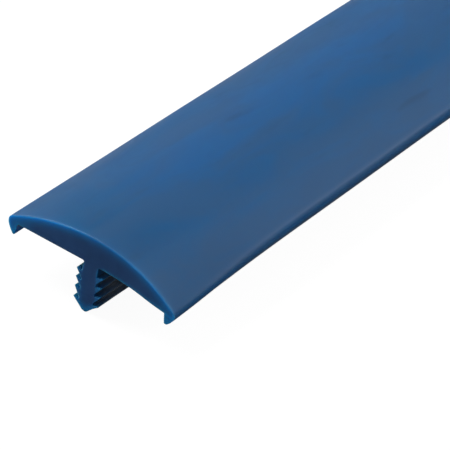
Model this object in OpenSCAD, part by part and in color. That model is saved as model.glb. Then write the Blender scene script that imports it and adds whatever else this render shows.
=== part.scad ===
// Domed tee moulding with edge lips and a barbed tongue.
// One plastic extrusion that covers the cut edge of a panel: the tongue presses into
// a routed groove, the crown lies over the edge, and the lips reach round its corners.
// X runs across the strip, Y along it and Z out of the panel. The origin is on the
// seat plane, where the crown lies on the panel, midway along the strip.

/* [Panel] */
// Thickness of the panel whose edge the strip covers, with the laminate on its faces
panel_t = 33.3; // [24:0.05:60]
// Clearance between each face of the panel and a lip
panel_gap = 0.2; // [0.1:0.05:0.6]

/* [Strip] */
// Length of the strip
strip_len = 152.4; // [40:0.1:1200]

/* [Crown] */
// Thickness of the crown at its middle
crown_t = 5.65; // [4.5:0.05:9]
// Thickness of the crown where it meets the lips
edge_t = 2; // [1.4:0.1:3.5]

/* [Lips] */
// Width of a lip, from the foot of its inner face to the outer edge of the strip
lip_w = 2.2; // [2:0.05:4]
// How far the lips reach below the seat plane
lip_d = 2.3; // [1.9:0.1:5]
// How far a lip's inner face leans outwards on its way to the tip
lip_lean = 0.6; // [0.2:0.05:0.9]
// Radius of the long outer edges
edge_r = 1.35; // [1:0.05:1.8]
// Radius of the rounded tip of a lip
lip_tip_r = 0.35; // [0.25:0.05:0.5]

/* [Tongue] */
// Thickness of the stem between the barbs
stem_w = 3.3; // [2:0.1:4.5]
// Radius of the fillets between the stem and the crown
root_r = 0.4; // [0.2:0.05:1]
// Width of the nose across its shoulders
nose_w = 5.8; // [4.8:0.1:7]
// Length of the nose, from its shoulders to its tip
nose_l = 2.2; // [1.9:0.1:5]
// Radius of the rounded tip of the nose
nose_r = 1.3; // [0.4:0.1:1.6]

/* [Barbs] */
// Number of barbs on each side, above the nose
barb_n = 3; // [1:1:6]
// Depth of the first barb's tip below the seat plane
barb_first = 2; // [1.2:0.05:4]
// Distance from one barb to the next
barb_pitch = 2.1; // [1.6:0.05:4]
// Width of the tongue across the tips of a pair of barbs
barb_w = 5.8; // [5:0.1:7.5]
// How far the tip of a barb, or of the nose's shoulders, hooks up above its root on the stem
barb_hook = 0.4; // [0:0.05:0.8]
// Bare length of stem between a barb's flank and the root of the next barb
barb_gap = 0.5; // [0.1:0.05:0.8]
// Height of the blunt tip of a barb, and of the nose's shoulders
barb_land = 0.12; // [0.05:0.01:0.3]

/* [Hidden] */

// Colour of the plastic
moulding_blue = [0.19, 0.36, 0.54];
// How far a cutting shape runs past what it cuts
over = 1;
// Facets of the drawn dome circle, of a fillet circle, and of each arc of an outline
dome_fn = 360;
fillet_fn = 64;
arc_n = 16;

// Inner face of a lip at the seat plane, and outer edge of the strip
lip_x = panel_t / 2 + panel_gap;
edge_x = lip_x + lip_w;

// Radius and centre of the dome that passes over the foot of each lip
dome_rise = crown_t - edge_t;
dome_r = (lip_x * lip_x + dome_rise * dome_rise) / (2 * dome_rise);
dome = [0, crown_t - dome_r];

// Centre of a long edge's radius, inside the dome and touching it
bead_x = edge_x - edge_r;
bead = [bead_x, dome[1] + sqrt(pow(dome_r - edge_r, 2) - bead_x * bead_x)];

// Centre of a lip's tip, and the foot of the lip's inner face
tip = [lip_x + lip_lean + lip_tip_r, lip_tip_r - lip_d];
lip_foot = [lip_x, 0];

// Depth of the end of a barb's flank below the barb's tip, and of the nose's shoulders
// below the seat plane
barb_h = barb_pitch + barb_hook - barb_gap;
nose_z = barb_first + barb_n * barb_pitch;

// Direction from one point to another
function direction(from, to) = atan2(to[1] - from[1], to[0] - from[0]);

// Direction from a circle's centre to where a line from p touches it; side is 1 or -1
function touch_angle(p, c, r, side) = direction(c, p) + side * acos(r / norm(p - c));

// Direction from two circles' centres to the line that touches both on their right
function shared_angle(c1, r1, c2, r2) = direction(c1, c2) + acos((r1 - r2) / norm(c2 - c1));

// Points of an arc between two directions, its first point left out when first is 1
function arc(c, r, a1, a2, first = 0) =
    [for (i = [first:arc_n]) let (a = a1 + (a2 - a1) * i / arc_n) c + r * [cos(a), sin(a)]];

// Draws a cross-section along the whole strip
module along_strip() {
    color(moulding_blue)
        translate([0, strip_len / 2, 0])
            rotate([90, 0, 0])
                linear_extrude(height = strip_len)
                    children();
}

// The crown between the lips: all of the dome above the seat plane
module crown_section() {
    intersection() {
        translate(dome)
            circle(r = dome_r, $fn = dome_fn);
        translate([-lip_x, 0])
            square([2 * lip_x, crown_t + over]);
    }
}

// Right lip: inner face, rounded tip, outer flank, long edge and end of the dome
module lip_section() {
    inner_a = touch_angle(lip_foot, tip, lip_tip_r, 1);
    flank_a = shared_angle(bead, edge_r, tip, lip_tip_r);
    edge_a = direction(dome, bead);
    foot_a = acos(lip_x / dome_r);
    polygon(concat(
        [lip_foot],
        arc(tip, lip_tip_r, inner_a, flank_a + 360),
        arc(bead, edge_r, flank_a, edge_a),
        arc(dome, dome_r, edge_a, foot_a, first = 1)
    ));
}

// Fillet in the corner between the right side of the stem and the seat plane
module root_fillet_section() {
    translate([stem_w / 2, -root_r])
        difference() {
            square(root_r);
            translate([root_r, 0])
                circle(r = root_r, $fn = fillet_fn);
        }
}

// One right barb, with the top of its tip at 0
module barb_section() {
    polygon([
        [stem_w / 2, -barb_hook],
        [barb_w / 2, 0],
        [barb_w / 2, -barb_land],
        [stem_w / 2, -barb_h]
    ]);
}

// The nose, with the tops of its hooked shoulders at 0: two flanks that run into a round tip
module nose_section() {
    shoulder = [nose_w / 2, -barb_land];
    tip_c = [0, nose_r - nose_l];
    flank_a = touch_angle(shoulder, tip_c, nose_r, -1);
    polygon(concat(
        [[-stem_w / 2, -barb_hook], [stem_w / 2, -barb_hook], [nose_w / 2, 0], shoulder],
        arc(tip_c, nose_r, flank_a, -180 - flank_a),
        [[-nose_w / 2, -barb_land], [-nose_w / 2, 0]]
    ));
}

module crown() {
    along_strip()
        crown_section();
}

module right_lip() {
    along_strip()
        lip_section();
}

module left_lip() {
    mirror([1, 0, 0])
        right_lip();
}

module stem() {
    along_strip() {
        translate([-stem_w / 2, -nose_z - barb_hook])
            square([stem_w, nose_z + barb_hook]);
        for (side = [0, 1])
            mirror([side, 0])
                root_fillet_section();
    }
}

module right_barbs() {
    for (i = [0:barb_n - 1])
        translate([0, 0, -barb_first - i * barb_pitch])
            along_strip()
                barb_section();
}

module left_barbs() {
    mirror([1, 0, 0])
        right_barbs();
}

module nose() {
    translate([0, 0, -nose_z])
        along_strip()
            nose_section();
}

crown();
left_lip();
right_lip();
stem();
left_barbs();
right_barbs();
nose();
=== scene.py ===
"""Looks for a domed tee moulding: one blue plastic extrusion with lips and a barbed tongue.

The strip is a single closed mesh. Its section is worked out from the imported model's boxes,
carried along the strip, and closed at both ends by cut faces.
"""

import math

import bpy
import numpy as np
from mathutils import Matrix, Vector
from mathutils.geometry import delaunay_2d_cdt


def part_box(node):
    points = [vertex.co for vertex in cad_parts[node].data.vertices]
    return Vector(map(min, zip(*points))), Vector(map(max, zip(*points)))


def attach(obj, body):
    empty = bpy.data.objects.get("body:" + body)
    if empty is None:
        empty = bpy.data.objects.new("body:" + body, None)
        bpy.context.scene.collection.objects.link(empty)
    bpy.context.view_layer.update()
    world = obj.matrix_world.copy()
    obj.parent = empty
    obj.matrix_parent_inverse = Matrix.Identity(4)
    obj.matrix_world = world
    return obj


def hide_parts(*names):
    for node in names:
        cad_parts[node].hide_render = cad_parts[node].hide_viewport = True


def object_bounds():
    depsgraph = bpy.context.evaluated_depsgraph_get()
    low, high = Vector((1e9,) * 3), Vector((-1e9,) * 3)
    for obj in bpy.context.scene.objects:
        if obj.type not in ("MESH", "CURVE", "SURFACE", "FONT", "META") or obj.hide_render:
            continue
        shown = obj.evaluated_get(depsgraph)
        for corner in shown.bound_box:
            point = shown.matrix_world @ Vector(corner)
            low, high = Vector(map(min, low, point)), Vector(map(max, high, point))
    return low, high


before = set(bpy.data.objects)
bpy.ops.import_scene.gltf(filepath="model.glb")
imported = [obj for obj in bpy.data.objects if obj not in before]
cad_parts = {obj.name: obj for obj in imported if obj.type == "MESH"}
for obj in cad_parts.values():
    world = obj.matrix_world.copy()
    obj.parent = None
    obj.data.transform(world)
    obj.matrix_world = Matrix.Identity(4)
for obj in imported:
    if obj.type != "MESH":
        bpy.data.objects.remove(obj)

bl_info = {
    "name": "Domed tee moulding",
    "version": (1, 0, 0),
    "blender": (4, 5, 0),
    "location": "3D View > Sidebar > Moulding",
    "description": "Builds a length of domed tee moulding and a plain studio round it",
    "category": "Object",
}

MM = 0.001
CAD_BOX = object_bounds()
UV_NAME = "surface"
# Where each lamp stands, in metres; its power is the studio setting of the same name
LAMPS = {
    "key": (-0.42, -0.1, 0.6),
    "left": (-0.7, 0.1, 0.2),
    "right": (0.57, 0.14, 0.37),
    "back": (0.2, 0.5, 0.5),
    "front": (-0.3, -0.7, 0.12),
    "corner": (0.35, -0.6, 0.3),
}
# Half of the floor's side, in lengths of the strip
FLOOR_REACH = 20
CLIP_START, CLIP_END = 0.01, 100.0

# Points of the outline nearer to each other than this are one point
SAME_PLACE = 1e-3 * MM
# Largest share of a side that the rounding of one of its corners takes
ROUNDING_SHARE = 0.45
# Radius of the lip's corners, in corner radii
LIP_ROUNDING = 1.5
# Inner points of a cut face: their step in section steps, and the height of their rows and
# their clearance from the outline in steps of their own
CUT_STEP, ROW_HEIGHT, OUTLINE_CLEARANCE = 0.5, 0.87, 0.4
# The triangulation keeps what is inside, and joins points nearer than this, in millimetres
CDT_INSIDE, CDT_EPSILON = 1, 1e-6
# Points on a bevel's quarter turn, and how far behind the cut the next rings are
BEVEL_STEPS, NEAR_RINGS = 5, (0.4 * MM, 0.7 * MM, 1.1 * MM)
# The dome's bevel grows over this zone, in heights of the strip's edge. There is none below
# the floor, or where the normal's height is under the dip
BEVEL_ZONE, BEVEL_FLOOR, BEVEL_DIP = (0.2, 0.8), 0.4, -0.5

# A zone goes from its start to where it is full. Those of the settled section, across:
NEAR_MIDDLE, LEFT_HALF, RIGHT_HALF = (6 * MM, 2 * MM), (1.5 * MM, -1.5 * MM), (0.0, 1 * MM)
LEFT_BARBS, LEFT_EDGE = (-1.4 * MM, -2.4 * MM), (0.0, -1 * MM)
# in height:
BELOW_SEAT, BELOW_ROOT, NEAR_SEAT = (0.0, -1.5 * MM), (-1 * MM, -3 * MM), (2 * MM, 0.0)
# in height from the nose's shoulders, and in half widths of the strip:
NOSE_TIP, RIGHT_LIP, RIGHT_FLANK = (-0.75 * MM, -2.25 * MM), (0.875, 1.0), (0.91, 0.96)
# Lengths of two more zones: up from the tongue's tip, and in from the barbs' tips
ABOVE_TIP, BARB_ROOT = 2 * MM, 1 * MM
# Left of this only the lip reaches below the seat
LEFT_LIP_X = -10 * MM
# The drooping section turns about this height
TURN_HEIGHT = 2 * MM
# Middle and width of the bell curve that the sag follows
SAG_X, SAG_WIDTH = 13.8 * MM, 3.4 * MM
# Share of the trim that goes outwards, and share of the lip's depth where it does so in full
TRIM_OUT, TRIM_FULL = 0.8, 2 / 3
# The left lip's drop goes outwards by the first, less the second times the share of its depth
DROP_OUT, DROP_IN = 2.0, 2.4
# Powers of the depth in the tongue's lean, and of the distance from the middle in the waves
LEAN_POWER, WAVE_POWER = 6, 4
# How far the left barbs, from the top, and the nose's left shoulder sit high
BARB_LIFTS = (-0.18 * MM, 0.11 * MM, 0.15 * MM, -0.16 * MM)

# Light through the cut face under the dome: how deep it reaches, and its strength by place
TOP_DEPTH, TOP_X, TOP_GLOW = 1.12 * MM, (-7 * MM, 2 * MM), (0.705, 0.48)
# The tongue's dark core: its middle at the seat, its lean and its half width
CORE_X, CORE_LEAN, CORE_HALF = -0.48 * MM, 0.09, 1.75 * MM
# Light beside the core: strength, and reach into the core or zone from its middle
LEFT_BARB_GLOW, LEFT_BARB_REACH = 0.22, 0.58 * MM
RIGHT_BARB_GLOW, RIGHT_BARB_ZONE = 0.38, (1.6 * MM, 1.9 * MM)
# Its zone in height, and how far below its shoulders the nose's own light is full
GLOW_BELOW_SEAT, NOSE_GLOW_RUN = (0.0, -1 * MM), 1 * MM
# Light at the edges of the lips, of the nose and of the right underside: strength and reach,
# and the zone of the last across
LIP_EDGE_GLOW, LIP_EDGE_REACH = 0.5, 0.35 * MM
NOSE_EDGE_GLOW, NOSE_EDGE_REACH = 0.9, 0.9 * MM
SEAT_GLOW, SEAT_REACH, RIGHT_SEAT = 0.85, 0.25 * MM, (2 * MM, 3 * MM)
# Light all through the lips, what the wings gain towards them, and the share of the dome's
# light that the lips lose
LEFT_LIP_GLOW, RIGHT_LIP_GLOW, WING_GLOW, LIP_LOSS = 0.34, 0.24, 0.05, 0.5
# Where the lips begin and where their edges begin to glow, in shares of the foot's distance
LIP_START, LIP_EDGE_START = 0.75, 0.9375
# Light out of the walls: its strength, its reach along the strip and its zones
LEFT_WALL_GLOW, LEFT_LIP_WALL_GLOW, LEFT_WALL_REACH = 0.24, 0.9, 4 * MM
LEFT_WALL, LEFT_LIP_WALL, WALL_TOP = (0.0, -1 * MM), (-15 * MM, -16 * MM), (0.0, -0.5 * MM)
RIGHT_WALL_GLOW, RIGHT_WALL_REACH = 0.22, 5 * MM
RIGHT_WALL_INNER, RIGHT_WALL_OUTER = (1.8 * MM, 2.8 * MM), (5 * MM, 4 * MM)
# How far the cut's glow reaches round its edge, and the faint glow of the skin behind it
ROUND_EDGE_REACH, SKIN_GLOW, SKIN_GLOW_REACH = 0.045 * MM, 0.1, 1 * MM

# The crown's bright band: middle, width, and run along the strip
BAND_X, BAND_WIDTH, BAND_RUN = -4 * MM, 7 * MM, 20 * MM
# Tone of plain plastic, and what the whole crown gains away from the cut
PLAIN_TONE, TONE_GAIN = 1 / 3, 0.2
# Painted sheen on the right and left edges: strength and width, run along the strip, zone in
# height
RIGHT_SHEEN, RIGHT_SHEEN_WIDTH, LEFT_SHEEN, LEFT_SHEEN_WIDTH = 0.5, 0.4 * MM, 0.4, 1.2 * MM
SHEEN_RUN, SHEEN_HEIGHT = 25 * MM, (0.0, 0.5 * MM)
# Painted highlight on the cut's own edge: its strength by place, and its reach
RIM_X = (-15 * MM, -10 * MM, -5 * MM, 0.0, 5 * MM, 10 * MM)
RIM_HIGHLIGHT = (0.2, 0.6, 0.5, 0.0, 0.2, 1.0)
RIM_REACH = 0.3 * MM
# Painted reflection right of the tongue: zones across and in height, and runs over the shoulders
# and along
REFLECTION_ACROSS, REFLECTION_HEIGHT = (3.7 * MM, 2.5 * MM), (-1 * MM, -3 * MM)
REFLECTION_OVER_NOSE, REFLECTION_RUN = 2 * MM, 5 * MM

# How far red, green and blue light travel under the surface, against the farthest
SCATTER_SPREAD = (0.7, 0.85, 1.0)
# How far the wisps swing the roughness, and how deep the fine relief is
ROUGHNESS_SWING, RELIEF_DEPTH = 0.08, 0.02 * MM
# Share of the painted edge sheen that follows the wisps, and share that is there all over
SHEEN_PATCHES = (0.6, 0.5)
SMUDGE_COLOUR = (0.005, 0.02, 0.05, 1)
# The core drifts towards its own colour times the first, plus the second
CORE_DRIFT = (1.25, 0.003)
# Places of a Mix node's factor and two colours among its inputs, and of the mixed colour
MIX_INPUTS, MIX_OUTPUT = (0, 6, 7), 2


# ---- settings


def length(name, description, millimetres, low=0.0):
    """A length setting, written in millimetres and kept in metres."""
    return bpy.props.FloatProperty(
        name=name,
        description=description,
        default=millimetres * MM,
        min=low * MM,
        unit="LENGTH",
        subtype="DISTANCE",
        precision=4,
    )


def angle(name, description, degrees):
    """An angle setting, written in degrees."""
    return bpy.props.FloatProperty(
        name=name,
        description=description,
        default=math.radians(degrees),
        unit="ROTATION",
        subtype="ANGLE",
    )


def colour(name, description, rgb):
    """A colour setting, in linear light."""
    return bpy.props.FloatVectorProperty(
        name=name,
        description=description,
        default=rgb,
        size=3,
        min=0.0,
        max=1.0,
        subtype="COLOR",
    )


def amount(name, description, value, high=1.0):
    """A plain number from 0 up."""
    return bpy.props.FloatProperty(
        name=name, description=description, default=value, min=0.0, max=high
    )


class MouldingSizes(bpy.types.PropertyGroup):
    """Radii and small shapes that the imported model's boxes don't give"""

    edge_radius: length("Edge radius", "Radius of the long outer edges", 1.35)
    tip_radius: length("Lip tip radius", "Radius of the rounded tip of a lip", 0.35)
    lip_lean: length("Lip lean", "How far a lip's inner face leans outwards", 0.6)
    root_radius: length("Root radius", "Fillet between the stem and the crown", 0.4)
    nose_radius: length("Nose radius", "Radius of the rounded tip of the nose", 1.3)
    land: length("Barb land", "Height of the blunt tip of a barb", 0.12)
    hook: length("Barb hook", "How far the tip of a barb hooks up above its root", 0.4)
    corner_radius: length("Corner radius", "Rounding of the die's sharp corners", 0.09)
    dome_bevel: length("Dome bevel", "Rounding of the cut edge along the dome", 0.26)
    cut_bevel: length("Cut bevel", "Rounding of the other cut edges", 0.03)
    barb_count: bpy.props.IntProperty(
        name="Barbs", description="Barbs on each side above the nose", default=3, min=1
    )
    droop: length("Droop", "How far the right edge hangs at the front cut", 2.32)
    droop_reach: length("Droop reach", "How far along the strip the droop fades", 17.1, 1)
    tongue_set: length("Tongue set", "How far the tongue's left side stands out", 0.3)
    tongue_lean: length("Tongue lean", "How far the nose's tip leans to the left", 0.3)
    root_set: length("Root set", "How far the roots of the right barbs stand in", 0.18)
    lift: length("Lift", "How far the right barbs and the nose's right side sit high", 0.16)
    nose_drop: length("Nose drop", "How far the nose's tip reaches below its true depth", 0.17)
    sag: length("Sag", "How far the right wing's underside hangs beyond the droop", 0.25)
    lip_drop: length("Lip drop", "How much deeper the left lip reaches at the front cut", 0.28)
    trim: length("Trim", "How much the saw takes off the right lip's tip at the front cut", 0.5)
    trim_reach: length("Trim reach", "How far along the strip that trim fades", 1.7, 0.1)
    flare: length("Flare", "How far the left edge stands out", 0.07)
    wave: length("Wave", "Height of the slow waves along the lips", 0.03)
    wave_pitch: length("Wave pitch", "Length of the slow waves along the lips", 47.0, 1)
    step: length("Mesh step", "Longest side of a face along the strip", 1.5, 0.1)
    section_step: length("Section step", "Longest side of a face round the section", 0.7, 0.1)


class MouldingFinish(bpy.types.PropertyGroup):
    """Colours and gloss of the plastic"""

    bright: colour("Bright", "Colour of the band left of the middle", (0.009, 0.094, 0.265))
    dull: colour("Dull", "Colour of the crown close to the front cut", (0.004, 0.083, 0.214))
    haze: colour("Haze", "Greyer colour that the skin drifts towards", (0.022, 0.085, 0.2))
    # Painted highlight: the colour that the cut's edge is painted where it catches light
    rim_highlight_colour: colour("Highlight", "Colour of the worn edge of the cut", (0.045, 0.2, 0.43))
    # Painted sheen: the colour that the long edges are painted where they catch light
    sheen: colour("Sheen", "Colour of the shining long edges", (0.065, 0.13, 0.25))
    core: colour("Core", "Colour deep inside the cut face", (0.021, 0.077, 0.215))
    glow: colour("Glow", "Colour of the cut face where light comes through", (0.005, 0.28, 0.71))
    # Painted reflection: the greyer colour painted in the corners beside the tongue
    dust: colour("Reflection", "Colour of the dust in the corners beside the tongue", (0.25, 0.29, 0.35))
    roughness: amount("Roughness", "Roughness of the extruded surface", 0.38)
    cut_roughness: amount("Cut roughness", "Roughness of the cut face", 0.55)
    gloss: amount("Gloss", "Specular level of the plastic", 0.2)
    scatter: amount("Scatter", "Share of light that travels under the surface", 0.8)
    scatter_depth: length("Scatter depth", "How far light travels under the surface", 2.5)


class StudioSettings(bpy.types.PropertyGroup):
    """Camera, lamps and floor"""

    azimuth: angle("Azimuth", "Camera's turn round the strip; 0 looks along it", 31.49)
    elevation: angle("Elevation", "Camera's height above the horizon", 34.9)
    roll: angle("Roll", "Camera's turn about its own line of sight", 8.23)
    distance: length("Distance", "From the camera to the point it looks at", 496.8)
    lens: bpy.props.FloatProperty(
        name="Lens", description="Focal length, in mm", default=224.8, min=1.0
    )
    look_across: length("Look across", "Aim point, to the right of the middle", 15.98, -500)
    look_along: length("Look along", "Aim point, behind the front cut", 16.69, -500)
    look_up: length("Look up", "Aim point, above the seat plane", 8.43, -500)
    key: amount("Key", "Power of the lamp high on the left, in watts", 4.5, 1000.0)
    left: amount("Left", "Power of the low lamp on the left, in watts", 1.9, 1000.0)
    right: amount("Right", "Power of the lamp on the right, in watts", 2.1, 1000.0)
    back: amount("Back", "Power of the lamp high at the back, in watts", 1.1, 1000.0)
    front: amount("Front", "Power of the low lamp at the front, in watts", 1.2, 1000.0)
    corner: amount("Corner", "Power of the lamp at the front right corner, in watts", 0.65, 1000.0)
    sky: amount("Sky", "Light that comes evenly from all round", 0.02)
    mirrored: amount("Mirrored", "Brightness of the sky in reflections", 0.4)
    floor_mirrored: amount("Floor mirrored", "Brightness of the floor in reflections", 0.06)
    floor_white: amount("Floor white", "Brightness of the floor where it is seen", 0.95)
    floor_grey: amount("Floor grey", "Share of light that the floor gives back", 0.1)
    lamp_size: length("Lamp size", "Side of each square lamp", 500.0)
    floor_drop: length("Floor drop", "From the nose's true depth down to the floor", 0.19)


# ---- curves


def ramp(value, start, full):
    """A straight run from 0 at start to 1 at full, whichever is larger, and level beyond."""
    return np.clip((value - start) / (full - start), 0, 1)


def bell(value, centre, width):
    """E to the power of minus the square of the distance from the centre, in widths."""
    return np.exp(-(((value - centre) / width) ** 2))


def decay(distance, reach):
    """E to the power of minus the distance, in reaches."""
    return np.exp(-distance / reach)


# ---- section


def arc(centre, radius, start, end, steps):
    """Centre plus radius times the cosine and the sine of an even run of angles."""
    turn = np.linspace(start, end, steps)
    return np.column_stack((centre[0] + radius * np.cos(turn), centre[1] + radius * np.sin(turn)))


def rounded(corners, radius, steps=5):
    """Rounds the inner corners of an open outline.

    Each corner gives way to the arc that touches both of its sides: the arc's centre lies on
    the line that halves the corner, at radius over the sine of half the corner's angle. A
    radius too large for the shorter side is cut down to fit it.
    """
    corner, before, after = corners[1:-1], corners[:-2], corners[2:]
    back, ahead = before - corner, after - corner
    back_length = np.linalg.norm(back, axis=1, keepdims=True)
    ahead_length = np.linalg.norm(ahead, axis=1, keepdims=True)
    back, ahead = back / back_length, ahead / ahead_length
    half = np.arccos(np.clip((back * ahead).sum(1, keepdims=True), -1, 1)) / 2
    longest = ROUNDING_SHARE * np.minimum(back_length, ahead_length)
    trim = np.minimum(radius / np.tan(half), longest)
    reach = trim * np.tan(half)
    centre = corner + unit(back + ahead) * reach / np.sin(half)
    first, last = corner + back * trim - centre, corner + ahead * trim - centre
    start = np.arctan2(first[:, 1], first[:, 0])
    sweep = np.arctan2(last[:, 1], last[:, 0]) - start
    sweep = (sweep + np.pi) % (2 * np.pi) - np.pi
    turn = start[:, None] + sweep[:, None] * np.linspace(0, 1, steps)
    points = centre[:, None] + reach[:, None] * np.stack((np.cos(turn), np.sin(turn)), axis=2)
    return np.vstack((corners[:1], points.reshape(-1, 2), corners[-1:]))


def spaced(outline, step):
    """Cuts each side of an outline into equal pieces no longer than step."""
    side = np.linalg.norm(np.diff(outline, axis=0), axis=1)
    pieces = np.maximum(1, np.ceil(side / step)).astype(int)
    owner = np.repeat(np.arange(len(side)), pieces)
    place = (np.arange(len(owner)) - np.repeat(np.cumsum(pieces) - pieces, pieces)) / pieces[owner]
    inner = outline[owner] + (outline[owner + 1] - outline[owner]) * place[:, None]
    return np.vstack((inner, outline[-1:]))


def unit(vectors):
    """The same directions with a length of 1."""
    return vectors / np.linalg.norm(vectors, axis=1, keepdims=True)


def heading(start, end):
    """Angle of the line from one point to another."""
    return math.atan2(end[1] - start[1], end[0] - start[0])


def dome_circle():
    """Radius and centre height of the circle through the apex and the points above both feet.

    The radius is the square of half the chord plus the square of the rise, over twice the rise.
    """
    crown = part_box("crown")[1]
    rise = crown.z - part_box("right_lip")[1].z
    radius = (crown.x**2 + rise**2) / (2 * rise)
    return radius, crown.z - radius


def crown_side(sizes):
    """Right side of the crown: the dome from its apex, and the lip down to its inner foot.

    The long edge is a circle that touches the dome's circle from inside. One straight flank
    touches that circle and the lip's round tip, and the lip's inner face runs from the tip to
    the foot.
    """
    foot = (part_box("crown")[1].x, 0.0)
    lip_low, lip_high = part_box("right_lip")
    dome_radius, dome_z = dome_circle()
    dome = (0.0, dome_z)
    bead_x = lip_high.x - sizes.edge_radius
    bead = (bead_x, dome_z + math.sqrt((dome_radius - sizes.edge_radius) ** 2 - bead_x**2))
    tip = (foot[0] + sizes.lip_lean + sizes.tip_radius, lip_low.z + sizes.tip_radius)
    meet = heading(dome, bead)
    flank = heading(bead, tip) + math.acos(
        (sizes.edge_radius - sizes.tip_radius) / math.dist(bead, tip)
    )
    inner = heading(tip, foot) + math.acos(sizes.tip_radius / math.dist(tip, foot)) - 2 * math.pi
    edge = arc(bead, sizes.edge_radius, meet, flank, steps=18)[1:]
    end = arc(tip, sizes.tip_radius, flank, inner, steps=12)
    return arc(dome, dome_radius, math.pi / 2, meet, steps=48), np.vstack((edge, end, [foot]))


def tongue_side(sizes):
    """Right side of the tongue, from the crown's underside to the nose's tip.

    The root is a quarter circle. Each barb is an upper face that rises from the stem to a
    hooked tip, a short land and a flank that slopes back to the stem. The nose has the same
    upper face and land, and then slopes to the circle that rounds its tip.
    """
    stem_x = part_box("stem")[1].x - sizes.root_radius
    barb_low, barb_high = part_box("right_barbs")
    nose_low, nose_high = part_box("nose")
    pitch = (barb_high.z - nose_high.z) / sizes.barb_count
    gap = barb_low.z - nose_high.z + sizes.hook
    tops = barb_high.z - pitch * np.arange(sizes.barb_count)
    barb = np.array(
        [
            [stem_x, -sizes.hook],
            [barb_high.x, 0.0],
            [barb_high.x, -sizes.land],
            [stem_x, gap - sizes.hook - pitch],
        ]
    )
    barbs = (barb + np.column_stack((np.zeros_like(tops), tops))[:, None]).reshape(-1, 2)
    shoulder = (nose_high.x, nose_high.z - sizes.land)
    centre = (0.0, nose_low.z + sizes.nose_radius)
    touch = heading(centre, shoulder) - math.acos(sizes.nose_radius / math.dist(centre, shoulder))
    root_centre = (stem_x + sizes.root_radius, -sizes.root_radius)
    root = arc(root_centre, sizes.root_radius, math.pi / 2, math.pi, steps=8)
    nose = arc(centre, sizes.nose_radius, touch, -math.pi / 2, steps=14)
    nose_step = [(stem_x, nose_high.z - sizes.hook), (nose_high.x, nose_high.z), shoulder]
    steps = np.vstack((root[-1:], barbs, nose_step, nose[:1]))
    return np.vstack((root[:-1], rounded(steps, sizes.corner_radius)[:-1], nose))


class Section:
    """The whole outline, clockwise seen from the front: points, outward normals, path length
    and bevel at each point."""

    def __init__(self, sizes):
        dome, lip = crown_side(sizes)
        tongue = tongue_side(sizes)
        lip = np.vstack((dome[-1:], lip, tongue[:1]))
        lip = rounded(lip, LIP_ROUNDING * sizes.corner_radius, steps=4)[1:-1]
        right = spaced(np.vstack((dome, lip, tongue)), sizes.section_step)
        keep = np.ones(len(right), bool)
        keep[1:] = np.linalg.norm(np.diff(right, axis=0), axis=1) > SAME_PLACE
        right = right[keep]
        left = right[-2:0:-1] * (-1, 1)
        self.points = np.vstack((right, left))
        ahead = np.roll(self.points, -1, axis=0) - self.points
        self.path = np.concatenate(([0.0], np.cumsum(np.linalg.norm(ahead, axis=1))))
        # The direction of travel at a point is the mean of the sides before and after it
        along = unit(unit(ahead) + np.roll(unit(ahead), 1, axis=0))
        self.normals = np.column_stack((-along[:, 1], along[:, 0]))
        height = self.points[:, 1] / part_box("right_lip")[1].z
        on_dome = (height > BEVEL_FLOOR) & (self.normals[:, 1] > BEVEL_DIP)
        soft = np.where(on_dome, ramp(height, *BEVEL_ZONE), 0)
        self.bevel = sizes.cut_bevel + (sizes.dome_bevel - sizes.cut_bevel) * soft

    def inset(self):
        """The outline moved inwards by its bevel."""
        return self.points - self.normals * self.bevel[:, None]


def inside(points, outline):
    """True for the points inside a closed outline: they cross it an odd number of times."""
    x, z = points[:, :1], points[:, 1:]
    x1, z1 = outline[:, 0], outline[:, 1]
    x2, z2 = np.roll(x1, -1), np.roll(z1, -1)
    crosses = (z1 > z) != (z2 > z)
    rise = np.where(z2 == z1, 1.0, z2 - z1)
    return (crosses & (x < x1 + (z - z1) * (x2 - x1) / rise)).sum(1) % 2 == 1


def gap_to(points, outline):
    """Distance from each point to the nearest side of a closed outline."""
    side = np.roll(outline, -1, axis=0) - outline
    offset = points[:, None] - outline
    share = np.clip((offset * side).sum(2) / (side**2).sum(1), 0, 1)
    return np.linalg.norm(offset - share[..., None] * side, axis=2).min(1)


def cut_face(outline, step):
    """Fills a closed outline with triangles over an even grid of inner points.

    Returns the inner points and the faces, whose first indices are the outline's points.
    """
    low, high = outline.min(0), outline.max(0)
    x = np.arange(low[0], high[0], step)
    z = np.arange(low[1], high[1], step * ROW_HEIGHT)
    grid = np.stack(np.meshgrid(x, z), axis=2)
    grid[1::2, :, 0] += step / 2
    grid = grid.reshape(-1, 2)
    grid = grid[inside(grid, outline)]
    grid = grid[gap_to(grid, outline) > OUTLINE_CLEARANCE * step]
    points = np.vstack((outline, grid))
    count = len(outline)
    sides = [(i, (i + 1) % count) for i in range(count)]
    places = [Vector(p) for p in points * (1 / MM)]
    made = delaunay_2d_cdt(places, sides, [], CDT_INSIDE, CDT_EPSILON)
    if len(made[0]) != len(points):
        raise RuntimeError("the cut face's outline touches itself; make the bevels smaller")
    order = np.array([came[0] for came in made[3]])
    return grid, [tuple(order[list(face)]) for face in made[2]]


# ---- strip


def wing_shift(x, z, fade, sizes):
    """How far the right wing moves across and up.

    It drops by the square of the distance from the middle, and its section turns by the slope
    of that drop. Its underside sags a little more, as a bell curve across the strip.
    """
    half_width = CAD_BOX[1].x
    across = np.clip(x / half_width, 0, None)
    slope = 2 * sizes.droop * across / half_width
    belly = bell(x, SAG_X, SAG_WIDTH) * ramp(np.abs(z), *NEAR_SEAT)
    drop = sizes.droop * across**2 + sizes.sag * belly
    return slope * (z - TURN_HEIGHT) * fade, -drop * fade


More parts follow.
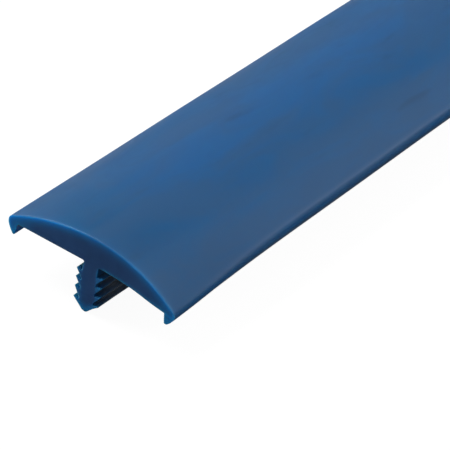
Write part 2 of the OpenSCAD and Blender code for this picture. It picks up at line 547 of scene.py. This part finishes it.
def tongue_shift(x, z, sizes):
    """How far the tongue moves across and up.

    Its left side stands out, and its tip reaches deeper and leans to the left by a power of
    the depth. The right barbs sit high, with their roots in, and each left one sits high or
    low by its own amount, with straight runs between them.
    """
    low, shoulder = CAD_BOX[0].z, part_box("nose")[1].z
    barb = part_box("right_barbs")[1]
    on_tongue = ramp(np.abs(x), *NEAR_MIDDLE) * ramp(z, *BELOW_SEAT)
    right = ramp(x, *RIGHT_HALF)
    root = ramp(x, barb.x, barb.x - BARB_ROOT)
    steps = np.minimum(ramp(z, *BELOW_ROOT), ramp(z, low, low + ABOVE_TIP))
    lean = sizes.tongue_lean * (z / low) ** LEAN_POWER
    outwards = sizes.tongue_set * ramp(x, *LEFT_HALF) + lean + sizes.root_set * root * right
    pitch = (barb.z - shoulder) / sizes.barb_count
    left_lift = np.interp((barb.z - z) / pitch, range(len(BARB_LIFTS)), BARB_LIFTS)
    left_lift = left_lift * ramp(x, *LEFT_BARBS)
    drop = sizes.nose_drop * ramp(z - shoulder, *NOSE_TIP)
    return -outwards * on_tongue, (sizes.lift * right * steps + left_lift - drop) * on_tongue


def lip_shift(x, y, z, fade, sizes):
    """How far the two long edges move across and up.

    The saw has cut the right lip's tip short and pushed it outwards, as a bell curve along the
    strip, and has dragged the left lip down. Slow waves, sines of the distance along, run
    along the edges, and the left edge stands out by a hair.
    """
    share = x / CAD_BOX[1].x
    lip_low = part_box("right_lip")[0].z
    low = ramp(z, 0, lip_low)
    cut_short = bell(y, CAD_BOX[0].y, sizes.trim_reach) * ramp(share, *RIGHT_LIP) * sizes.trim
    pushed = TRIM_OUT * ramp(z, 0, TRIM_FULL * lip_low) * ramp(share, *RIGHT_FLANK)
    dragged = sizes.lip_drop * low * fade * (x < LEFT_LIP_X)
    edge = np.clip(np.abs(share), 0, 1) ** WAVE_POWER
    wave = sizes.wave * np.sin(2 * np.pi * y / sizes.wave_pitch + np.sign(x))
    outwards = dragged * (DROP_OUT - DROP_IN * low) + sizes.flare * edge * ramp(x, *LEFT_EDGE)
    return pushed * cut_short - outwards, low * cut_short - dragged + wave * edge


def settle(points, sizes):
    """Bends the true section into the shape that the cut strip has taken.

    The moves of the wing, the tongue and the edges add up. Those that fade along the strip are
    bell curves of the distance from the front cut.
    """
    x, y, z = points.T
    fade = bell(y, CAD_BOX[0].y, sizes.droop_reach)
    moves = (
        wing_shift(x, z, fade, sizes),
        tongue_shift(x, z, sizes),
        lip_shift(x, y, z, fade, sizes),
    )
    across, up = np.sum(moves, axis=0)
    return np.column_stack((x + across, y, z + up))


def strip_stations(sizes):
    """Places along the strip and the share of the bevel that is taken off at each.

    At an end the place moves in by one minus the cosine, and the share is one minus the sine,
    of an angle that goes from 0 to a right angle; between the ends the share is 0.
    """
    start, end = CAD_BOX[0].y, CAD_BOX[1].y
    turn = np.linspace(0, np.pi / 2, BEVEL_STEPS)
    depth, share = 1 - np.cos(turn), 1 - np.sin(turn)
    near = np.array(NEAR_RINGS)
    even = np.linspace(start, end, int(round((end - start) / sizes.step)) + 1)[1:-1]
    middle = np.concatenate((start + near, even, end - near[::-1]))
    base = np.concatenate((np.full(BEVEL_STEPS, start), middle, np.full(BEVEL_STEPS, end)))
    inward = np.concatenate((depth, np.zeros_like(middle), -depth[::-1]))
    shares = np.concatenate((share, np.zeros_like(middle), share[::-1]))
    return base, inward, shares


def glow_at(points, section):
    """How much light reaches each point of a cut face through the plastic, from 0 to 1.

    Under the dome it falls off as a bell curve of the depth, and is stronger on the left. The
    lips are lit right through, and so is the tongue on both sides of a straight, slightly
    leaning core: it dies away exponentially into the core on the left and stops at it on the
    right. More light comes along the nose, and along the underside on the right.
    """
    x, z = points.T
    foot_x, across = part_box("crown")[1].x, np.abs(x)
    radius, dome_z = dome_circle()
    under_dome = radius - np.hypot(x, z - dome_z)
    depth = gap_to(points, section.points)
    from_top = np.interp(x, TOP_X, TOP_GLOW) * bell(under_dome, 0, TOP_DEPTH)
    lip = ramp(across, LIP_START * foot_x, foot_x)
    from_core = x - CORE_X + CORE_LEAN * z
    into_left = np.clip(from_core + CORE_HALF, 0, None)
    left_barb = LEFT_BARB_GLOW * decay(into_left, LEFT_BARB_REACH) * (from_core < 0)
    right_barb = RIGHT_BARB_GLOW * ramp(from_core, *RIGHT_BARB_ZONE)
    barb = (left_barb + right_barb) * ramp(z, *GLOW_BELOW_SEAT)
    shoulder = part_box("nose")[1].z
    nose = ramp(z, shoulder, shoulder - NOSE_GLOW_RUN)
    lip_edge = ramp(across, LIP_EDGE_START * foot_x, foot_x)
    inner = (
        barb,
        LIP_EDGE_GLOW * decay(depth, LIP_EDGE_REACH) * lip_edge,
        NOSE_EDGE_GLOW * decay(depth, NOSE_EDGE_REACH) * nose,
        SEAT_GLOW * decay(np.abs(z), SEAT_REACH) * ramp(x, *RIGHT_SEAT),
    )
    spill = np.where(x < 0, LEFT_LIP_GLOW, RIGHT_LIP_GLOW) * lip
    spill += WING_GLOW * (across / foot_x) ** 2
    from_top = from_top * (1 - LIP_LOSS * lip)
    return np.clip(np.max((from_top, *inner), axis=0) + spill, 0, 1)


def wall_glow(points, from_end):
    """Light that comes out of the walls beside the tongue and out of the left lip, from 0 to 1.

    It dies away exponentially with the distance from the nearer cut.
    """
    x, _, z = points.T
    lip = ramp(x, *LEFT_LIP_WALL)
    on_left = LEFT_WALL_GLOW + (LEFT_LIP_WALL_GLOW - LEFT_WALL_GLOW) * lip
    on_left = on_left * decay(from_end, LEFT_WALL_REACH) * ramp(x, *LEFT_WALL)
    on_right = RIGHT_WALL_GLOW * decay(from_end, RIGHT_WALL_REACH)
    on_right = on_right * ramp(x, *RIGHT_WALL_INNER) * ramp(x, *RIGHT_WALL_OUTER)
    return ramp(z, *WALL_TOP) * (on_left + on_right)


def tone_at(points):
    """Tone of the crown from 0, dull, to 1, bright, with a third as its plain colour.

    A bright band runs left of the middle, as a bell curve across the strip. It rises from
    nothing at the front cut, where the crown is darker, as one minus a bell curve, and the
    rest brightens a little with it.
    """
    band = bell(points[:, 0], BAND_X, BAND_WIDTH)
    run = 1 - bell(points[:, 1], CAD_BOX[0].y, BAND_RUN)
    plain = PLAIN_TONE * (1 - band * (1 - run))
    return np.minimum(plain + (1 - PLAIN_TONE) * band * run + TONE_GAIN * run, 1)


def edge_sheen_at(points, sizes):
    """Painted sheen on the long edges, from 0 to 1: a bell curve about the line where the dome
    meets the right edge, and a broader, fainter one across the left edge. It is nothing at the
    front cut and comes up in a straight run."""
    x, y, z = points.T
    dome = crown_side(sizes)[0]
    from_line = np.hypot(x - dome[-1, 0], z - dome[-1, 1])
    right = RIGHT_SHEEN * bell(from_line, 0, RIGHT_SHEEN_WIDTH)
    left = LEFT_SHEEN * bell(x, -dome[-2, 0], LEFT_SHEEN_WIDTH)
    run = ramp(y, CAD_BOX[0].y, CAD_BOX[0].y + SHEEN_RUN)
    return (right + left) * run * ramp(z, *SHEEN_HEIGHT)


def rim_highlight_at(x, from_end):
    """Painted highlight on the cut's own edge, from 0 to 1: it dies away exponentially with the
    distance from the cut. It is fullest on the right and faintest in the middle, and runs
    straight between the places that set it."""
    return np.interp(x, RIM_X, RIM_HIGHLIGHT) * decay(from_end, RIM_REACH)


def painted_reflection_at(points, from_end):
    """Painted reflection beside the tongue on the right, from 0 to 1: it fades out towards the
    barbs' tips, down the nose and above the first barb, and comes up over the first few
    millimetres."""
    x, _, z = points.T
    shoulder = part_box("nose")[1].z
    over_nose = ramp(z, shoulder - REFLECTION_OVER_NOSE, shoulder)
    inward = ramp(x, *REFLECTION_ACROSS) * (x > 0)
    return inward * ramp(z, *REFLECTION_HEIGHT) * over_nose * ramp(from_end, 0, REFLECTION_RUN)


def masks_at(points, section, stations, sizes):
    """Every mask of the strip by its attribute's name, with one value for each point.

    The points of the sides come first. There the cut's glow turns round the edge and dies away
    at once, over a faint glow of the skin, unless more light comes out of the walls. The rim's
    painted highlight goes with the bevel, and the cut faces have none.
    """
    sides = slice(len(section.points) * stations)
    from_end = np.minimum(points[:, 1] - CAD_BOX[0].y, CAD_BOX[1].y - points[:, 1])
    glow = glow_at(points[:, [0, 2]], section)
    skin = glow * decay(from_end, ROUND_EDGE_REACH) + SKIN_GLOW * decay(from_end, SKIN_GLOW_REACH)
    glow[sides] = np.maximum(skin, wall_glow(points, from_end))[sides]
    # Painted highlight along the cut's edge
    rim = np.zeros(len(points))
    bevel = np.clip(section.bevel / sizes.dome_bevel, 0, 1)
    rim[sides] = rim_highlight_at(points[sides, 0], from_end[sides]) * np.tile(bevel, stations)
    return {
        "glow": glow,
        "rim": rim,
        "tone": tone_at(points),
        # Painted reflection beside the tongue
        "dust": painted_reflection_at(points, from_end),
        # Painted sheen on the long edges
        "wear": edge_sheen_at(points, sizes),
    }


def strip_faces(count, stations, inner, fill):
    """Faces of the sides, the front cut and the back cut, for rings of count points.

    A ring's points are numbered on from the ring before it, and the inner points of the two
    cut faces follow the last ring. The back cut's faces turn the other way.
    """
    i = np.arange(count)
    j = np.arange(stations - 1)[:, None] * count
    ahead = (i + 1) % count
    corners = (j + i, j + ahead, j + count + ahead, j + count + i)
    quads = np.stack(corners, axis=2).reshape(-1, 4)
    rings = count * stations
    front = np.concatenate((i, rings + np.arange(inner)))
    back = np.concatenate((rings - count + i, rings + inner + np.arange(inner)))
    return quads, front[fill], back[fill[:, ::-1]]


def surface_places(mesh, points, section, quads):
    """A place in millimetres for each face corner, as its UV.

    On the sides it is the path round the section and the distance along the strip, and the
    faces that close the ring go on to the path's full length. On the cut faces it is the
    point's own place across and up.
    """
    corner = np.zeros(len(mesh.loops), np.int32)
    mesh.loops.foreach_get("vertex_index", corner)
    uv = points[corner][:, [0, 2]]
    side = corner[: len(quads) * 4]
    ring_place = side % len(section.points)
    closing = (ring_place == 0) & np.tile([False, True, True, False], len(quads))
    uv[: len(side), 0] = section.path[ring_place] + closing * section.path[-1]
    uv[: len(side), 1] = points[side, 1]
    return uv / MM


def make_strip(sizes):
    """The mesh: the section carried along the strip, with a filled cut face at each end."""
    section = Section(sizes)
    base, inward, shares = strip_stations(sizes)
    count, stations = len(section.points), len(base)
    bevel = section.bevel[:, None] * shares[:, None, None]
    ring = section.points - section.normals * bevel
    y = base[:, None] + inward[:, None] * section.bevel
    sides = np.stack((ring[..., 0], y, ring[..., 1]), axis=2).reshape(-1, 3)

    inner, fill = cut_face(section.inset(), sizes.section_step * CUT_STEP)
    ends = (CAD_BOX[0].y, CAD_BOX[1].y)
    caps = [np.column_stack((inner[:, 0], np.full(len(inner), e), inner[:, 1])) for e in ends]
    plain = np.vstack((sides, *caps))
    quads, front, back = strip_faces(count, stations, len(inner), np.array(fill))

    mesh = bpy.data.meshes.new("moulding")
    faces = [*quads.tolist(), *front.tolist(), *back.tolist()]
    mesh.from_pydata(settle(plain, sizes), [], faces)
    cut = (np.arange(len(faces)) >= len(quads)).astype(np.int32)
    mesh.polygons.foreach_set("material_index", cut)
    mesh.polygons.foreach_set("use_smooth", cut == 0)
    places = surface_places(mesh, plain, section, quads)
    mesh.uv_layers.new(name=UV_NAME).data.foreach_set("uv", places.ravel())
    for name, values in masks_at(plain, section, stations, sizes).items():
        mesh.attributes.new(name, "FLOAT", "POINT").data.foreach_set("value", values)
    mesh.validate()
    return mesh


# ---- finish


class Nodes:
    """Adds nodes to a tree and links them, one call each."""

    def __init__(self, tree):
        self.tree = tree
        tree.nodes.clear()

    def add(self, kind, settings=None, slots=(), **inputs):
        """Adds a shader node; settings are its own, slots are its first sockets in order, and
        inputs are sockets by name with _ for a space."""
        node = self.tree.nodes.new(f"ShaderNode{kind}")
        for name, value in (settings or {}).items():
            setattr(node, name, value)
        for socket, value in zip(node.inputs, slots):
            self.feed(socket, value)
        for name, value in inputs.items():
            self.feed(node.inputs[name.replace("_", " ")], value)
        return node

    def feed(self, socket, value):
        """Links an output to a socket, or sets the socket's own value."""
        if isinstance(value, bpy.types.NodeSocket):
            self.tree.links.new(value, socket)
        else:
            socket.default_value = value

    def maths(self, operation, *values):
        """A Math node of one operation on one to three values."""
        return self.add("Math", {"operation": operation}, values).outputs[0]

    def mix(self, *values):
        """Mixes two colours; the values are the factor, the first and the second."""
        node = self.add("Mix", {"data_type": "RGBA"})
        for place, value in zip(MIX_INPUTS, values):
            self.feed(node.inputs[place], value)
        return node.outputs[MIX_OUTPUT]

    def stretch(self, vector, x, y):
        """A place with its first number times x and its second times y."""
        scale = self.add("CombineXYZ", X=x, Y=y, Z=1.0).outputs[0]
        times = {"operation": "MULTIPLY"}
        return self.add("VectorMath", times, (vector, scale)).outputs[0]

    def attribute(self, name):
        """The value of one of the strip's own attributes."""
        return self.add("Attribute", {"attribute_name": name}).outputs["Fac"]

    def group(self, tree, **inputs):
        """Places a node group in a material and returns its outputs."""
        return self.add("Group", {"node_tree": tree}, **inputs).outputs


def group_of(name, inputs, outputs):
    """A new shader node group and its two end nodes; a socket is its name, kind and value."""
    tree = bpy.data.node_groups.new(name, "ShaderNodeTree")
    for label, kind, value in inputs:
        socket = tree.interface.new_socket(label, in_out="INPUT", socket_type=f"NodeSocket{kind}")
        if value is not None:
            socket.default_value = value
    for label, kind in outputs:
        tree.interface.new_socket(label, in_out="OUTPUT", socket_type=f"NodeSocket{kind}")
    nodes = Nodes(tree)
    given, put = tree.nodes.new("NodeGroupInput"), tree.nodes.new("NodeGroupOutput")
    return tree, nodes, given, put


def cloudy_group():
    """Cloudy plastic: a base colour that drifts towards another in soft wisps, drawn out along
    the second axis, with fine specks and a few darker smudges, and a mask of the wisps."""
    tree, nodes, given, put = group_of(
        "Cloudy plastic",
        [
            ("Vector", "Vector", None),
            ("Base", "Color", (0.01, 0.09, 0.22, 1)),
            ("Drift", "Color", (0.02, 0.09, 0.2, 1)),
            ("Wisps", "Float", 0.5),
            ("Specks", "Float", 0.1),
            ("Smudges", "Float", 0.1),
            ("Stretch", "Float", 1.0),
        ],
        [("Color", "Color"), ("Mask", "Float")],
    )
    place = given.outputs["Vector"]
    drawn = nodes.stretch(place, 1.0, given.outputs["Stretch"])

    def soft_mask(vector, size, low, high, detail=3.0, distortion=0.0):
        """A noise of the given size, in millimetres, cut off smoothly between two levels."""
        noise = nodes.add(
            "TexNoise",
            Vector=vector,
            Scale=1 / size,
            Detail=detail,
            Roughness=0.55,
            Distortion=distortion,
        )
        return nodes.add(
            "MapRange",
            {"interpolation_type": "SMOOTHSTEP"},
            Value=noise.outputs["Fac"],
            From_Min=low,
            From_Max=high,
        ).outputs[0]

    wisp = soft_mask(drawn, size=6.5, low=0.33, high=0.67, distortion=0.7)
    speck = soft_mask(place, size=0.8, low=0.45, high=0.8)
    smudge = soft_mask(drawn, size=4.0, low=0.62, high=0.85, detail=1.0, distortion=0.3)
    tone, drift = given.outputs["Base"], given.outputs["Drift"]
    layers = ((wisp, "Wisps", drift), (speck, "Specks", drift), (smudge, "Smudges", SMUDGE_COLOUR))
    for mask, share, towards in layers:
        tone = nodes.mix(nodes.maths("MULTIPLY", mask, given.outputs[share]), tone, towards)
    nodes.feed(put.inputs["Color"], tone)
    nodes.feed(put.inputs["Mask"], wisp)
    return tree


def lines_group():
    """Fine lines: noise stretched out along one direction, as a die or a saw leaves."""
    tree, nodes, given, put = group_of(
        "Fine lines",
        [
            ("Vector", "Vector", None),
            ("Pitch", "Float", 4.0),
            ("Run", "Float", 0.02),
            ("Slant", "Float", 0.0),
        ],
        [("Height", "Float")],
    )
    turned = nodes.add(
        "VectorRotate",
        {"rotation_type": "Z_AXIS"},
        Vector=given.outputs["Vector"],
        Angle=given.outputs["Slant"],
    )
    drawn = nodes.stretch(turned.outputs[0], given.outputs["Pitch"], given.outputs["Run"])
    noise = nodes.add("TexNoise", Vector=drawn, Scale=1.0, Detail=2.0, Roughness=0.5)
    nodes.feed(put.inputs["Height"], noise.outputs["Fac"])
    return tree


def opaque(rgb):
    """A colour setting with full alpha."""
    return (*rgb, 1.0)


def new_material(name):
    """A new material and the nodes of its empty tree."""
    material = bpy.data.materials.new(name)
    material.use_nodes = True
    return material, Nodes(material.node_tree)


def plastic(nodes, finish, base, level, clouds, lines, strength):
    """The shader of both surfaces: its roughness follows the clouds' mask about its level, and
    its fine relief follows the lines."""
    swing = nodes.maths("SUBTRACT", clouds["Mask"], 0.5)
    swing = nodes.maths("MULTIPLY", swing, ROUGHNESS_SWING)
    bump = nodes.add(
        "Bump", Strength=strength, Distance=RELIEF_DEPTH, Height=lines["Height"]
    )
    shader = nodes.add(
        "BsdfPrincipled",
        Base_Color=base,
        Roughness=nodes.maths("ADD", level, swing),
        Specular_IOR_Level=finish.gloss,
        Subsurface_Weight=finish.scatter,
        Subsurface_Radius=SCATTER_SPREAD,
        Subsurface_Scale=finish.scatter_depth,
        Normal=bump.outputs[0],
    )
    nodes.add("OutputMaterial", Surface=shader.outputs[0])


def skin_material(finish, cloudy, lines):
    """The extruded surface: satin blue with soft wisps and die lines, a painted sheen on the long
    edges, a painted highlight on the cut edge, a painted reflection beside the tongue and light
    from the cut."""
    material, nodes = new_material("extruded_skin")
    uv = nodes.add("UVMap", {"uv_map": UV_NAME}).outputs[0]
    place = nodes.add("TexCoord").outputs["Object"]
    scaling = {"operation": "SCALE"}
    millimetres = nodes.add("VectorMath", scaling, (place,), Scale=1 / MM)
    plain = nodes.mix(nodes.attribute("tone"), opaque(finish.dull), opaque(finish.bright))
    clouds = nodes.group(
        cloudy,
        Vector=millimetres.outputs[0],
        Base=plain,
        Drift=opaque(finish.haze),
        Wisps=0.7,
        Specks=0.12,
        Smudges=0.25,
        Stretch=0.3,
    )
    die = nodes.group(lines, Vector=uv, Pitch=3.5, Run=0.015)
    # Painted sheen along the long edges, patchy with the wisps
    patchy = nodes.maths("MULTIPLY_ADD", clouds["Mask"], *SHEEN_PATCHES)
    wear = nodes.maths("MULTIPLY", nodes.attribute("wear"), patchy)
    base = nodes.mix(wear, clouds["Color"], opaque(finish.sheen))
    # Painted highlight on the cut's edge, painted reflection beside the tongue, then the light
    # through the cut
    for name, rgb in (("rim", finish.rim_highlight_colour), ("dust", finish.dust), ("glow", finish.glow)):
        base = nodes.mix(nodes.attribute(name), base, opaque(rgb))
    plastic(nodes, finish, base, finish.roughness, clouds, die, strength=0.25)
    return material


def cut_material(finish, cloudy, lines):
    """The cut faces: dark inside, brighter where light comes through, with faint saw lines."""
    material, nodes = new_material("cut_face")
    uv = nodes.add("UVMap", {"uv_map": UV_NAME}).outputs[0]
    share, more = CORE_DRIFT
    clouds = nodes.group(
        cloudy,
        Vector=uv,
        Base=opaque(finish.core),
        Drift=opaque([c * share + more for c in finish.core]),
        Wisps=0.7,
        Specks=0.3,
        Smudges=0.2,
        Stretch=1.0,
    )
    saw = nodes.group(lines, Vector=uv, Pitch=5.0, Run=0.25, Slant=math.radians(62))
    base = nodes.mix(nodes.attribute("glow"), clouds["Color"], opaque(finish.glow))
    plastic(nodes, finish, base, finish.cut_roughness, clouds, saw, strength=0.4)
    return material


# ---- studio


def place_object(name, data):
    """A new object in the scene's own collection."""
    thing = bpy.data.objects.new(name, data)
    bpy.context.collection.objects.link(thing)
    return thing


def seen_directly(nodes, mirrored):
    """1 for rays from the camera and through glass, the mirrored share for reflections, else 0."""
    path = nodes.add("LightPath")
    gloss = nodes.maths("MULTIPLY", path.outputs["Is Glossy Ray"], mirrored)
    seen = nodes.maths("MAXIMUM", path.outputs["Is Camera Ray"], gloss)
    return nodes.maths("MAXIMUM", seen, path.outputs["Is Transmission Ray"])


def make_world(studio):
    """White where it is seen, and a dim even sky where it lights."""
    world = bpy.data.worlds.new("studio_world")
    world.use_nodes = True
    nodes = Nodes(world.node_tree)
    seen = seen_directly(nodes, studio.mirrored)
    strength = nodes.maths("MAXIMUM", seen, studio.sky)
    shader = nodes.add("Background", Color=(1, 1, 1, 1), Strength=strength)
    nodes.add("OutputWorld", Surface=shader.outputs[0])
    bpy.context.scene.world = world


def floor_material(studio):
    """White where it is seen, less a soft share that takes the shadow, and clear from below."""
    material, nodes = new_material("studio_floor")
    seen = seen_directly(nodes, studio.floor_mirrored)
    dull = nodes.add("BsdfDiffuse", Color=opaque([studio.floor_grey] * 3))
    strength = nodes.maths("MULTIPLY", seen, studio.floor_white)
    white = nodes.add("Emission", Color=(1, 1, 1, 1), Strength=strength)
    both = nodes.add("AddShader", slots=(dull.outputs[0], white.outputs[0]))
    below = nodes.add("NewGeometry").outputs["Backfacing"]
    clear = nodes.add("BsdfTransparent")
    mixed = nodes.add("MixShader", slots=(below, both.outputs[0], clear.outputs[0]))
    nodes.add("OutputMaterial", Surface=mixed.outputs[0])
    return material


def make_floor(studio):
    """A square floor just under the nose, centred on the strip."""
    reach = FLOOR_REACH * (CAD_BOX[1].y - CAD_BOX[0].y)
    height = CAD_BOX[0].z - studio.floor_drop
    corners = np.array([[-1, -1], [1, -1], [1, 1], [-1, 1]]) * reach
    mesh = bpy.data.meshes.new("floor")
    mesh.from_pydata(np.column_stack((corners, np.full(4, height))), [], [(0, 1, 2, 3)])
    mesh.materials.append(floor_material(studio))
    floor = place_object("floor", mesh)


def make_lamp(name, place, size, power):
    """A square area lamp, turned towards the middle of the strip."""
    lamp = bpy.data.lights.new(name, "AREA")
    lamp.shape = "SQUARE"
    lamp.size = size
    lamp.energy = power
    thing = place_object(name, lamp)
    thing.location = place
    thing.rotation_mode = "QUATERNION"
    thing.rotation_quaternion = (-Vector(place)).to_track_quat("-Z", "Y")


def make_camera(studio):
    """A long lens at the settings' azimuth and elevation, turned about its line of sight."""
    a, e = studio.azimuth, studio.elevation
    back = Vector((math.sin(a) * math.cos(e), -math.cos(a) * math.cos(e), math.sin(e)))
    aim = Vector((studio.look_across, CAD_BOX[0].y + studio.look_along, studio.look_up))
    camera = bpy.data.cameras.new("camera")
    camera.lens = studio.lens
    camera.clip_start, camera.clip_end = CLIP_START, CLIP_END
    thing = place_object("camera", camera)
    turn = (-back).to_track_quat("-Z", "Y").to_matrix() @ Matrix.Rotation(studio.roll, 3, "Z")
    thing.matrix_world = Matrix.Translation(aim + back * studio.distance) @ turn.to_4x4()
    bpy.context.scene.camera = thing


# ---- operators


class OBJECT_OT_moulding(bpy.types.Operator):
    """Build the strip of tee moulding"""

    bl_idname = "object.tee_moulding"
    bl_label = "Tee moulding"
    bl_options = {"REGISTER", "UNDO"}

    def execute(self, context):
        finish = context.scene.moulding_finish
        mesh = make_strip(context.scene.moulding_sizes)
        cloudy, lines = cloudy_group(), lines_group()
        mesh.materials.append(skin_material(finish, cloudy, lines))
        mesh.materials.append(cut_material(finish, cloudy, lines))
        strip = place_object("moulding", mesh)
        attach(strip, "root")
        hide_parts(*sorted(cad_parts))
        return {"FINISHED"}


class OBJECT_OT_studio(bpy.types.Operator):
    """Build the floor, the lamps, the world and the camera"""

    bl_idname = "object.moulding_studio"
    bl_label = "Studio"
    bl_options = {"REGISTER", "UNDO"}

    def execute(self, context):
        studio = context.scene.moulding_studio
        make_world(studio)
        make_floor(studio)
        for name, place in LAMPS.items():
            make_lamp(f"{name}_lamp", place, studio.lamp_size, getattr(studio, name))
        make_camera(studio)
        context.scene.view_settings.view_transform = "Standard"
        return {"FINISHED"}


class VIEW3D_PT_moulding(bpy.types.Panel):
    """Lists the builders and their settings in the sidebar"""

    bl_label = "Domed tee moulding"
    bl_space_type = "VIEW_3D"
    bl_region_type = "UI"
    bl_category = "Moulding"

    def draw(self, context):
        for group in GROUPS:
            settings = getattr(context.scene, group)
            box = self.layout.box()
            for name in settings.__annotations__:
                box.prop(settings, name)
        for operator in (OBJECT_OT_moulding, OBJECT_OT_studio):
            self.layout.operator(operator.bl_idname)


GROUPS = {
    "moulding_sizes": MouldingSizes,
    "moulding_finish": MouldingFinish,
    "moulding_studio": StudioSettings,
}
CLASSES = (*GROUPS.values(), OBJECT_OT_moulding, OBJECT_OT_studio, VIEW3D_PT_moulding)


def register():
    """Registers the classes and hangs the settings on the scene."""
    for made in CLASSES:
        bpy.utils.register_class(made)
    for name, group in GROUPS.items():
        setattr(bpy.types.Scene, name, bpy.props.PointerProperty(type=group))


def unregister():
    """Takes the settings and the classes away again."""
    for name in GROUPS:
        delattr(bpy.types.Scene, name)
    for made in reversed(CLASSES):
        bpy.utils.unregister_class(made)


def main():
    register()
    bpy.ops.object.tee_moulding()
    bpy.ops.object.moulding_studio()


if __name__ == "__main__":
    main()
